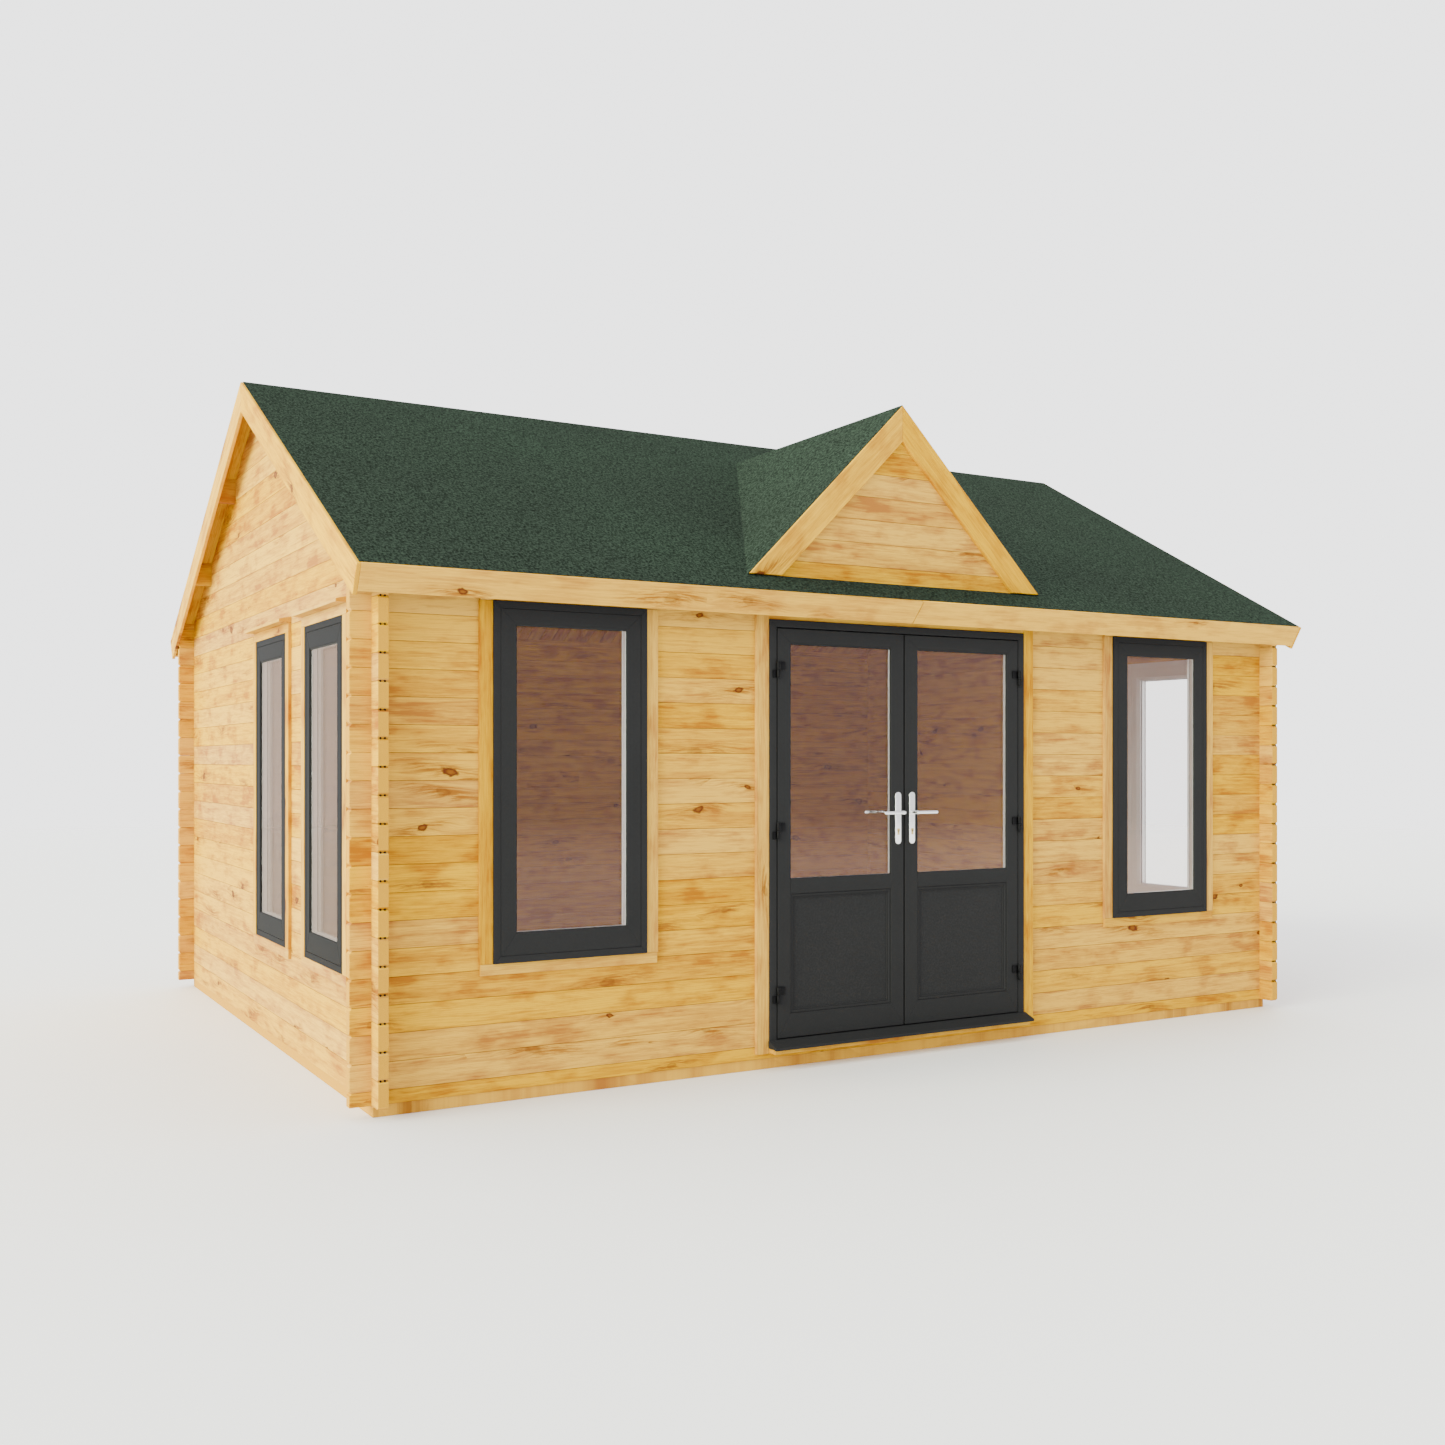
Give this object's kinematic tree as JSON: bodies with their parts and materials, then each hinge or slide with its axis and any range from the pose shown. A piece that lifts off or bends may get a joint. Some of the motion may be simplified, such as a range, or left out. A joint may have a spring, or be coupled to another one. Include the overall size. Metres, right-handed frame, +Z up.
{
  "type": "log cabin",
  "caption": "Log cabin of interlocking logs under a felted gable roof with a small front dormer, with glazed double doors, tall side lights and a boarded floor.",
  "frame": {"origin": "centre of the plan, on the ground under the bearers", "axes": "+X to the right seen from the front, +Y from the front wall to the back, +Z up"},
  "size_m": [5.516, 4.294, 3.4054],
  "materials": {
    "log_wood": "planed, clear satin",
    "roof_wood": "planed, bare",
    "edge_wood": "planed, clear satin",
    "bearer_wood": "sawn, treated",
    "floor_wood": "planed boards",
    "roofing_felt": "mineral, matt",
    "dark_frame": "satin",
    "pane_glass": "clear",
    "sill_metal": "coated, satin",
    "hinge_metal": "satin",
    "handle_metal": "polished"
  },
  "bodies": {
    "cabin": {"front_wall_left": "log_wood", "front_wall_right": "log_wood", "front_wall_over_door": "log_wood", "front_wall_under_door": "log_wood", "left_wall": "log_wood", "right_wall": "log_wood", "back_wall": "log_wood", "left_gable": "log_wood", "right_gable": "log_wood", "dormer_front": "log_wood", "ridge_beam": "roof_wood", "purlins": "roof_wood", "roof_boards_front": "roof_wood", "roof_boards_rear": "roof_wood", "dormer_boards_left": "roof_wood", "dormer_boards_right": "roof_wood", "left_barge_boards": "edge_wood", "right_barge_boards": "edge_wood", "front_eave_boards": "edge_wood", "rear_eave_boards": "edge_wood", "dormer_barge_boards": "edge_wood", "front_window_trims": "edge_wood", "left_window_trims": "edge_wood", "right_window_trims": "edge_wood", "door_trims": "edge_wood", "outer_bearers": "bearer_wood", "floor_joists": "bearer_wood", "floor_boards": "floor_wood", "roof_felt": "roofing_felt", "dormer_felt": "roofing_felt", "front_window_frames": "dark_frame", "left_window_frames": "dark_frame", "right_window_frames": "dark_frame", "door_frame": "dark_frame", "front_window_glass": "pane_glass", "left_window_glass": "pane_glass", "right_window_glass": "pane_glass", "door_sill": "sill_metal", "door_hinge_pins": "hinge_metal"},
    "left_door": {"left_door_leaf": "dark_frame", "left_door_glass": "pane_glass", "left_door_hinges": "hinge_metal", "left_door_plates": "handle_metal"},
    "right_door": {"right_door_leaf": "dark_frame", "right_door_glass": "pane_glass", "right_door_hinges": "hinge_metal", "right_door_plates": "handle_metal"},
    "left_handle": {"left_door_lever": "handle_metal"},
    "right_handle": {"right_door_lever": "handle_metal"}
  },
  "joints": [
    {"name": "left_door_hinge", "type": "hinge", "parent": "cabin", "child": "left_door", "pos_m": [-0.7365, -2.012, 1.1], "axis": [0, 0, -1], "range_deg": [0, 105]},
    {"name": "right_door_hinge", "type": "hinge", "parent": "cabin", "child": "right_door", "pos_m": [0.7365, -2.012, 1.1], "axis": [0, 0, 1], "range_deg": [0, 105]},
    {"name": "left_handle_turn", "type": "hinge", "parent": "left_door", "child": "left_handle", "pos_m": [-0.0395, -1.974, 1.188], "axis": [0, -1, 0], "range_deg": [0, 40], "stiffness_Nm_per_rad": 1.5, "springref_deg": -22.92},
    {"name": "right_handle_turn", "type": "hinge", "parent": "right_door", "child": "right_handle", "pos_m": [0.0455, -1.974, 1.188], "axis": [0, 1, 0], "range_deg": [0, 40], "stiffness_Nm_per_rad": 1.5, "springref_deg": -22.92}
  ]
}
